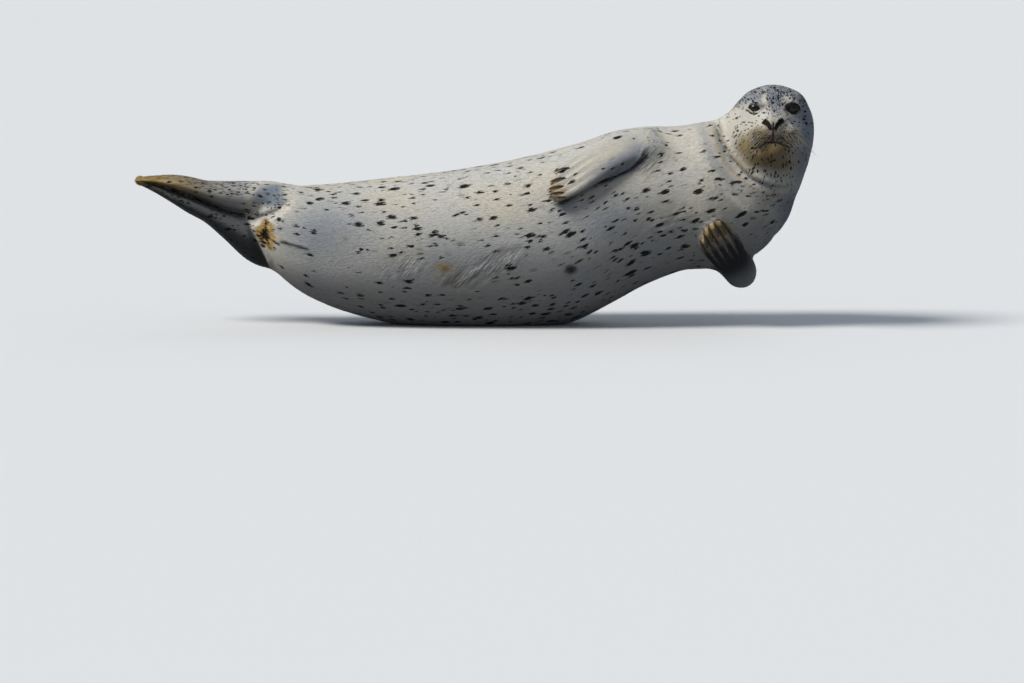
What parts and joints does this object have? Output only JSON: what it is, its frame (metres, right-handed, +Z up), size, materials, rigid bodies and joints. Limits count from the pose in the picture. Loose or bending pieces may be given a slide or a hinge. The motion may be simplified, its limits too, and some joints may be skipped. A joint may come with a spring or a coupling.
{
  "type": "harbor seal",
  "caption": "Life-size harbor seal lying on its left side with head and hind flippers raised, face turned to one side; still display model.",
  "frame": {"origin": "middle of the underside of the model's bounding box, on the floor that it lies on", "axes": "+X from the hind flippers to the head, +Y towards the seal's back, -Y the way its face and belly look, +Z up"},
  "size_m": [1.5926, 0.3906, 0.5674],
  "materials": {
    "coat": "short flat fur, pale silver with dark spots",
    "eye": "wet, glossy, near black",
    "horn": "satin horn of the claws and whiskers"
  },
  "bodies": {
    "root": {"pelvis": "coat", "abdomen": "coat", "thorax": "coat", "neck": "coat", "head": "coat", "fore_flipper_right": "coat", "fore_flipper_left": "coat", "hind_flipper_right": "coat", "hind_flipper_left": "coat", "tail": "coat", "eye_right": "eye", "eye_left": "eye", "claw_fore_right_1": "horn", "claw_fore_right_2": "horn", "claw_fore_right_3": "horn", "claw_fore_right_4": "horn", "claw_fore_right_5": "horn", "claw_fore_left_1": "horn", "claw_fore_left_2": "horn", "claw_fore_left_3": "horn", "claw_fore_left_4": "horn", "claw_fore_left_5": "horn", "claw_hind_right_1": "horn", "claw_hind_right_2": "horn", "claw_hind_right_3": "horn", "claw_hind_right_4": "horn", "claw_hind_right_5": "horn", "claw_hind_left_1": "horn", "claw_hind_left_2": "horn", "claw_hind_left_3": "horn", "claw_hind_left_4": "horn", "claw_hind_left_5": "horn"}
  },
  "joints": []
}
